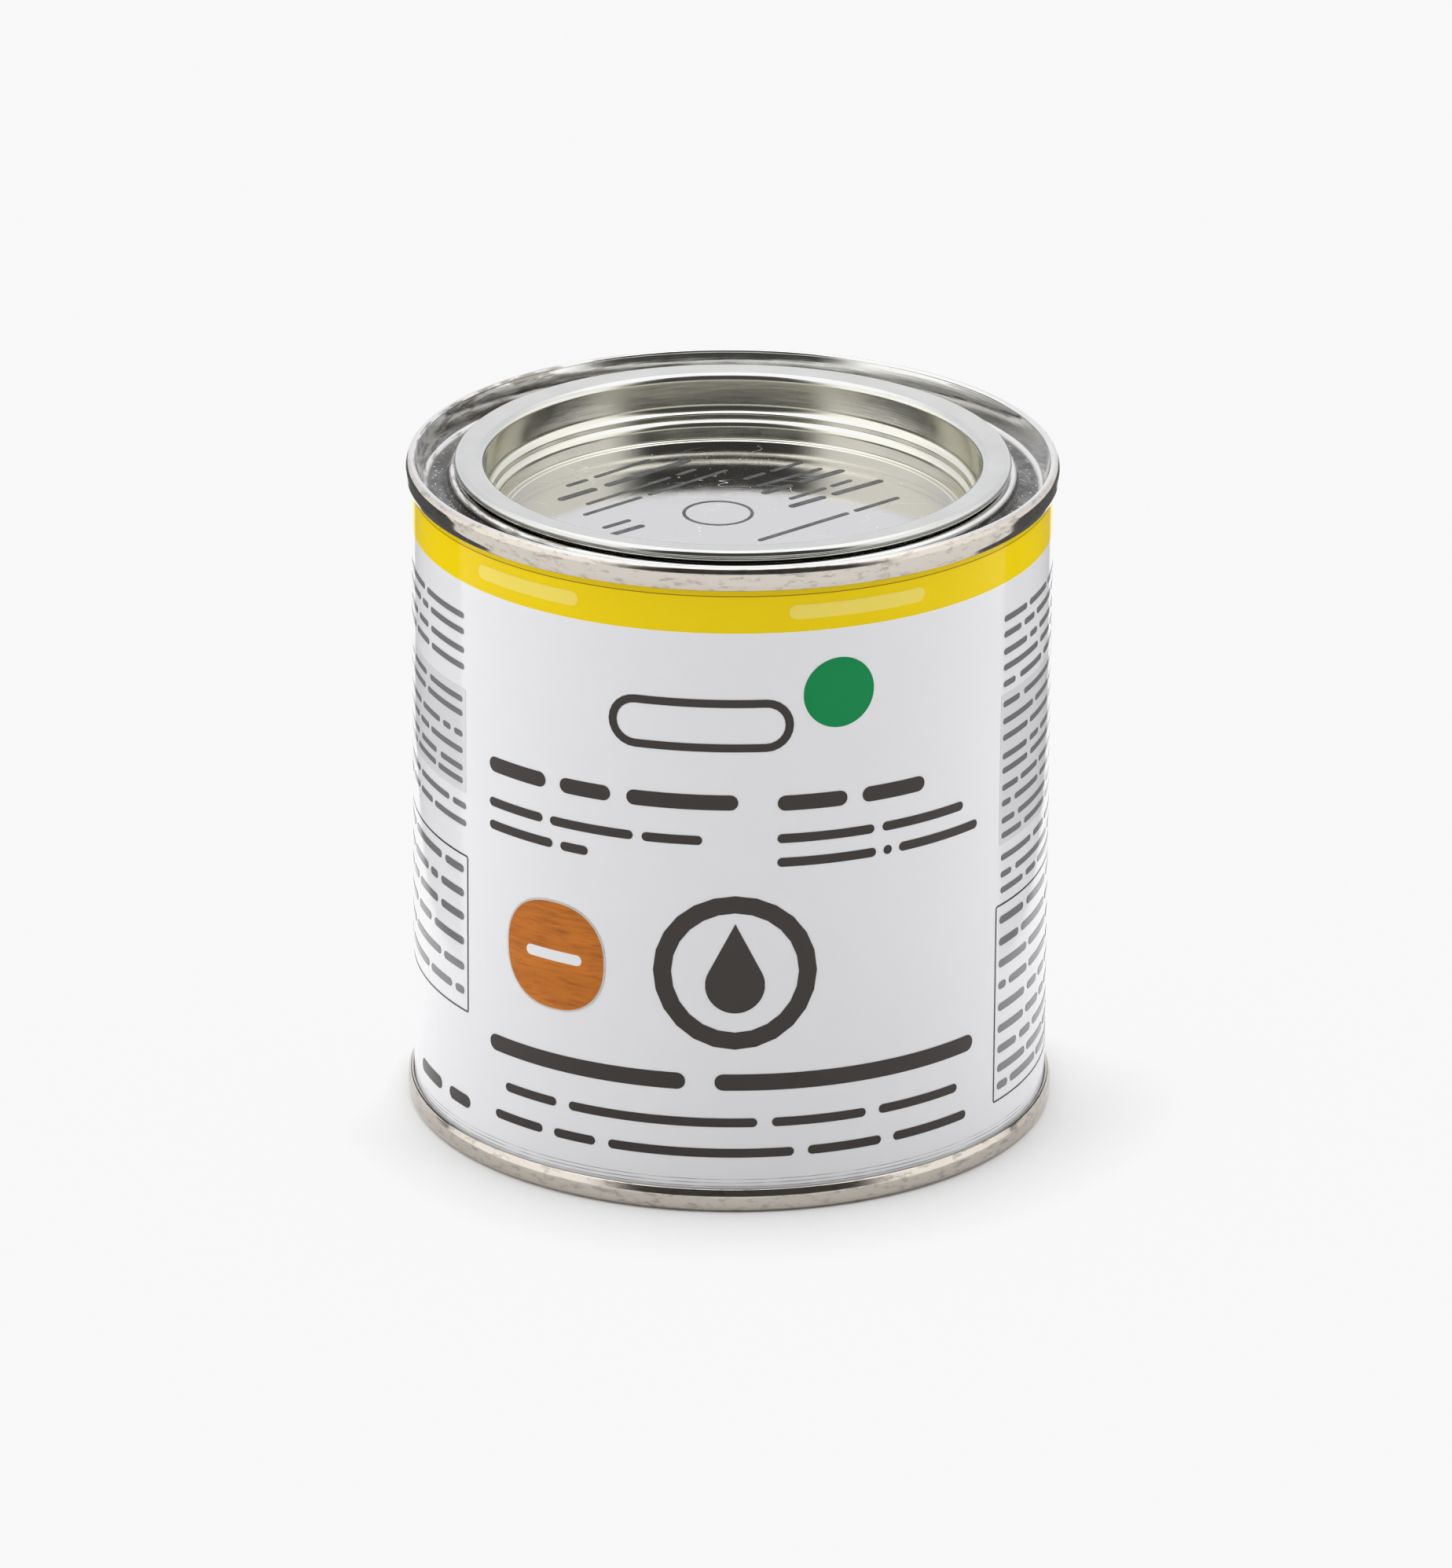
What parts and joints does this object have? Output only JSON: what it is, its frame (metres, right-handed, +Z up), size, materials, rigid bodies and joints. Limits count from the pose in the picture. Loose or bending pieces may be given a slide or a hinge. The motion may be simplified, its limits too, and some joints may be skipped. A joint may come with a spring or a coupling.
{
  "type": "lever-lid tin",
  "caption": "Round seamed metal tin with a recessed press-in lever lid, printed with a plain yellow, white and grey label and filled with wax finish.",
  "frame": {"origin": "middle of the flat base, on the tin's axis", "axes": "+Z up along the tin's axis, the front of the label faces -Y, +X to the right when seen from the front"},
  "size_m": [0.086, 0.086, 0.0897],
  "materials": {
    "printed_tinplate": "offset-printed tinplate under clear gloss varnish, yellow band over white",
    "end_tinplate": "bare bright tinplate with fine rolling lines and light scuffs",
    "lid_tinplate": "bare tinplate, satin on the rim and bright in the recess, with grey printing on the panel",
    "seam_compound": "matt lining compound",
    "sticker_paper": "satin printed film with orange-brown wood grain and a pale cut edge",
    "wax_finish": "glossy orange-brown oil-wax finish"
  },
  "bodies": {
    "can": {"can_body": "printed_tinplate", "top_ring": "end_tinplate", "bottom_end": "end_tinplate", "top_seam_compound": "seam_compound", "bottom_seam_compound": "seam_compound", "tone_sticker": "sticker_paper", "wax_contents": "wax_finish"},
    "lid": {"lever_lid": "lid_tinplate"}
  },
  "joints": [
    {"name": "lid_lift", "type": "slide", "parent": "can", "child": "lid", "axis": [0, 0, 1], "range_m": [0, 0.06]}
  ]
}
